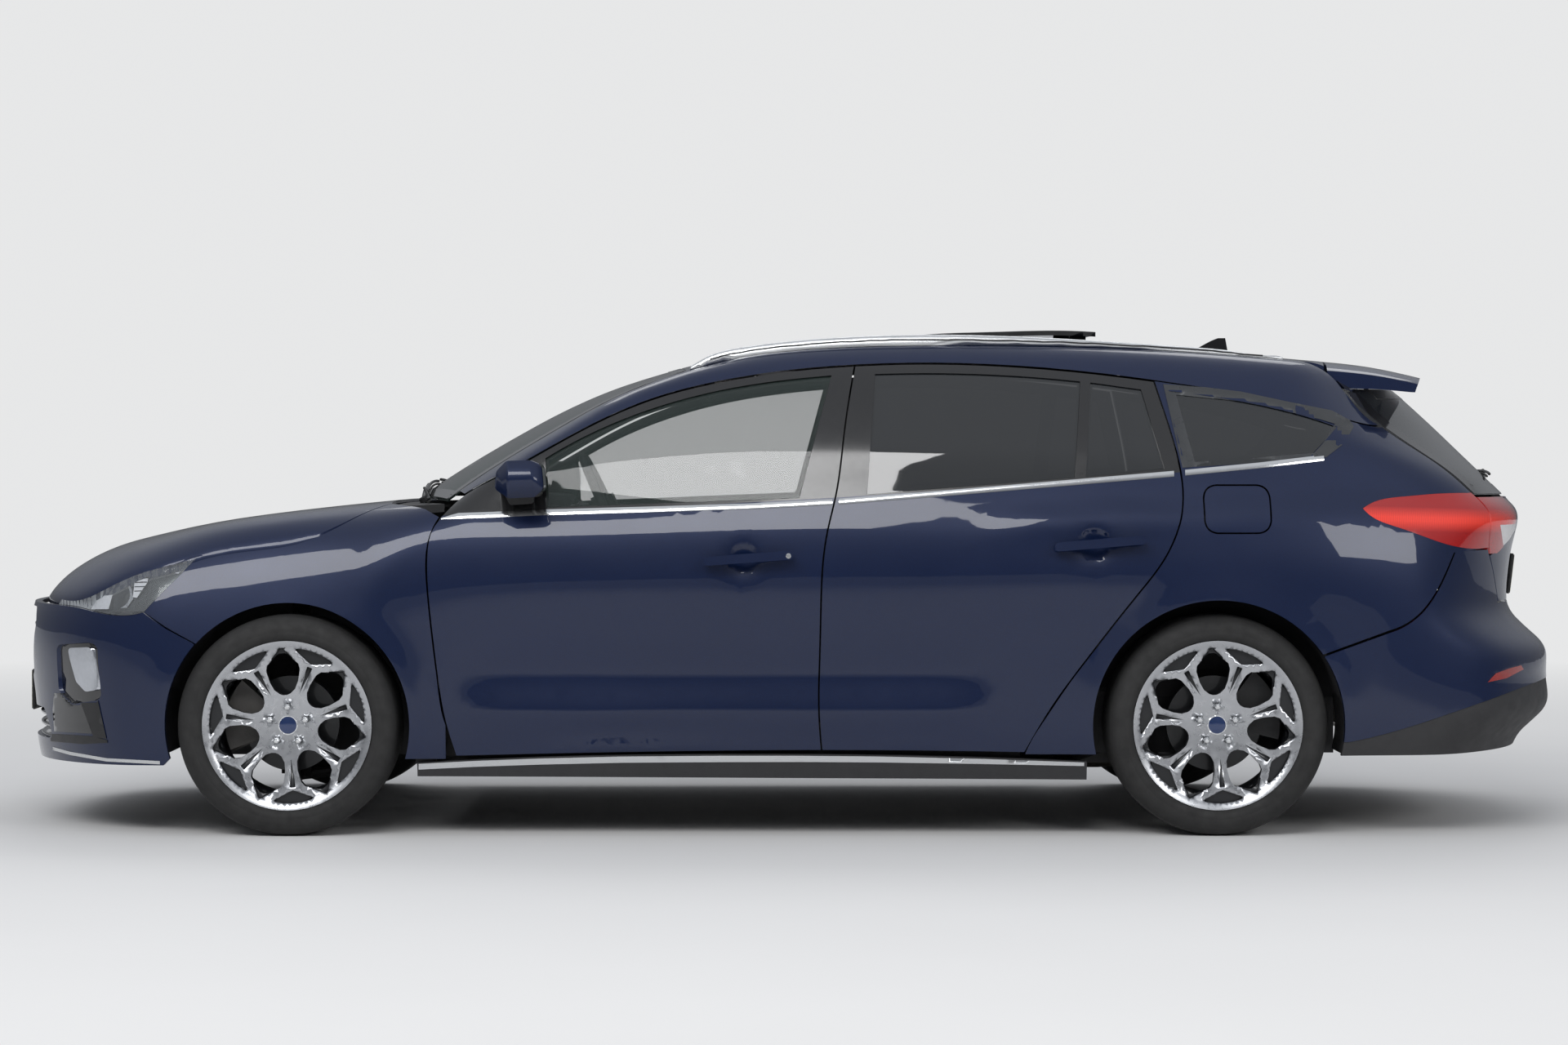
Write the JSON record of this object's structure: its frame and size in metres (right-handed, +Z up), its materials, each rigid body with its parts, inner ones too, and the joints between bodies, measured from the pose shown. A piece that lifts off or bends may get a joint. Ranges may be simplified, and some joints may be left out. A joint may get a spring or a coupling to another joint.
{
  "type": "family station wagon",
  "caption": "Dark blue family estate car with roof rails, an open raised sunroof, alloy wheels, steered front wheels, and opening doors, bonnet, tailgate and fuel flap",
  "frame": {"origin": "bottom centre of the bounding box, on the ground between the wheels", "axes": "+Z up, -X the way the car faces, -Y its left side"},
  "size_m": [4.6568, 1.98, 1.495],
  "materials": {
    "paint": "dark navy metallic with clear coat",
    "dark_glass": "privacy tint",
    "clear_glass": "light green tint",
    "gloss_black": "gloss black",
    "black_plastic": "fine grain",
    "bright_rail": "satin",
    "lamp_clear": "clear lens over bright bowls",
    "lamp_red": "red lens",
    "rubber_black": "moulded tread",
    "wheel_alloy": "machined face",
    "steel_dark": "chassis black",
    "cast": "as cast",
    "exhaust_steel": "heat dulled",
    "seat_cloth": "woven",
    "cabin_plastic": "soft grain"
  },
  "bodies": {
    "car_body": {"front_fenders": "paint", "roof": "paint", "windscreen": "clear_glass", "roof_sides": "paint", "quarter_panels": "paint", "front_bumper": "paint", "grilles": "gloss_black", "front_lamps": "lamp_clear", "rear_bumper": "paint", "tail_lamps_body": "lamp_red", "roof_rails": "bright_rail", "sunroof_glass": "dark_glass", "antenna": "gloss_black", "sills": "steel_dark", "centre_posts": "cabin_plastic", "engine": "cast", "exhaust": "exhaust_steel", "lower_trims": "black_plastic", "cowl": "black_plastic", "floor": "steel_dark", "wheel_liners": "black_plastic", "front_subframe": "steel_dark", "rear_axle": "steel_dark", "quarter_glass": "dark_glass", "filler_bowl": "black_plastic", "front_seats": "seat_cloth", "rear_bench": "seat_cloth", "dashboard": "cabin_plastic"},
    "front_door_left_body": {"front_door_left": "paint", "front_door_glass_left": "clear_glass", "mirror_left": "paint"},
    "rear_door_left_body": {"rear_door_left": "paint", "rear_door_glass_left": "dark_glass"},
    "front_door_right_body": {"front_door_right": "paint", "front_door_glass_right": "clear_glass", "mirror_right": "paint"},
    "rear_door_right_body": {"rear_door_right": "paint", "rear_door_glass_right": "dark_glass"},
    "bonnet_body": {"bonnet": "paint"},
    "tailgate_body": {"tailgate_panel": "paint", "tailgate_frame": "gloss_black", "tailgate_glass": "dark_glass", "spoiler": "paint", "tail_lamps_gate": "lamp_red"},
    "fuel_flap_body": {"fuel_flap": "paint"},
    "steering_wheel_body": {"steering_wheel": "cabin_plastic"},
    "knuckle_left_body": {"knuckle_left": "cast"},
    "knuckle_right_body": {"knuckle_right": "cast"},
    "wheel_front_left_body": {"rim_front_left": "wheel_alloy", "tyre_front_left": "rubber_black"},
    "wheel_front_right_body": {"rim_front_right": "wheel_alloy", "tyre_front_right": "rubber_black"},
    "wheel_rear_left_body": {"rim_rear_left": "wheel_alloy", "tyre_rear_left": "rubber_black"},
    "wheel_rear_right_body": {"rim_rear_right": "wheel_alloy", "tyre_rear_right": "rubber_black"}
  },
  "joints": [
    {"name": "front_door_left_hinge", "type": "hinge", "parent": "car_body", "child": "front_door_left_body", "pos_m": [-1.0405, -0.9105, 0.6], "axis": [0, 0, -1], "range_deg": [0, 65]},
    {"name": "rear_door_left_hinge", "type": "hinge", "parent": "car_body", "child": "rear_door_left_body", "pos_m": [0.0945, -0.9125, 0.6], "axis": [0, 0, -1], "range_deg": [0, 70]},
    {"name": "front_door_right_hinge", "type": "hinge", "parent": "car_body", "child": "front_door_right_body", "pos_m": [-1.0405, 0.9105, 0.6], "axis": [0, 0, 1], "range_deg": [0, 65]},
    {"name": "rear_door_right_hinge", "type": "hinge", "parent": "car_body", "child": "rear_door_right_body", "pos_m": [0.0945, 0.9125, 0.6], "axis": [0, 0, 1], "range_deg": [0, 70]},
    {"name": "bonnet_hinge", "type": "hinge", "parent": "car_body", "child": "bonnet_body", "pos_m": [-1.166, 0, 0.985], "axis": [0, 1, 0], "range_deg": [0, 55]},
    {"name": "tailgate_hinge", "type": "hinge", "parent": "car_body", "child": "tailgate_body", "pos_m": [1.61, 0, 1.4], "axis": [0, -1, 0], "range_deg": [0, 80]},
    {"name": "fuel_flap_hinge", "type": "hinge", "parent": "car_body", "child": "fuel_flap_body", "pos_m": [1.2095, -0.911, 0.95], "axis": [0, 0, -1], "range_deg": [0, 95]},
    {"name": "steering_left", "type": "hinge", "parent": "car_body", "child": "knuckle_left_body", "pos_m": [-1.45, -0.783, 0.322], "axis": [0, 0, 1], "range_deg": [-35, 35]},
    {"name": "steering_right", "type": "hinge", "parent": "car_body", "child": "knuckle_right_body", "pos_m": [-1.45, 0.783, 0.322], "axis": [0, 0, 1], "range_deg": [-35, 35]},
    {"name": "steering_wheel_turn", "type": "hinge", "parent": "car_body", "child": "steering_wheel_body", "pos_m": [-0.54, -0.365, 0.935], "axis": [0.9063, 0, 0.4226], "range_deg": [-525, 525]},
    {"name": "wheel_front_left_spin", "type": "hinge", "parent": "knuckle_left_body", "child": "wheel_front_left_body", "pos_m": [-1.45, -0.783, 0.322], "axis": [0, 1, 0], "continuous": true},
    {"name": "wheel_front_right_spin", "type": "hinge", "parent": "knuckle_right_body", "child": "wheel_front_right_body", "pos_m": [-1.45, 0.783, 0.322], "axis": [0, 1, 0], "continuous": true},
    {"name": "wheel_rear_left_spin", "type": "hinge", "parent": "car_body", "child": "wheel_rear_left_body", "pos_m": [1.25, -0.776, 0.322], "axis": [0, 1, 0], "continuous": true},
    {"name": "wheel_rear_right_spin", "type": "hinge", "parent": "car_body", "child": "wheel_rear_right_body", "pos_m": [1.25, 0.776, 0.322], "axis": [0, 1, 0], "continuous": true}
  ],
  "couplings": [
    {"joint": "steering_right", "follows": "steering_left", "ratio": 1},
    {"joint": "steering_wheel_turn", "follows": "steering_left", "ratio": 15}
  ]
}
